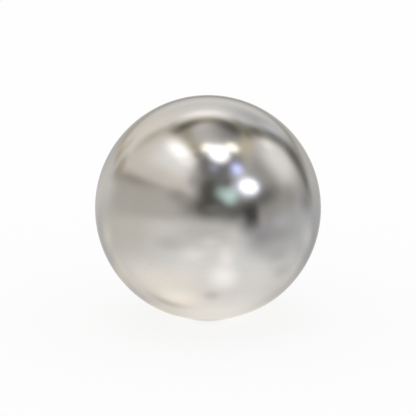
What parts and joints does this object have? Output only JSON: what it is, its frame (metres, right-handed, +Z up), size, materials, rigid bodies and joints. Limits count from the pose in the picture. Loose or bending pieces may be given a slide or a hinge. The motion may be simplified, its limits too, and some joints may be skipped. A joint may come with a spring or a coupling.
{
  "type": "steel ball",
  "caption": "Solid polished steel ball, a true sphere that rolls in a race, locates in a cup or serves as a detent or weight.",
  "frame": {"origin": "the ball's centre", "axes": "+Z up through the ball's top, -Z out through the point where its seat holds it; a sphere has no other direction of its own"},
  "size_m": [0.0126, 0.0126, 0.0126],
  "materials": {
    "polished_steel": "polished"
  },
  "bodies": {
    "root": {"steel_ball": "polished_steel"}
  },
  "joints": []
}
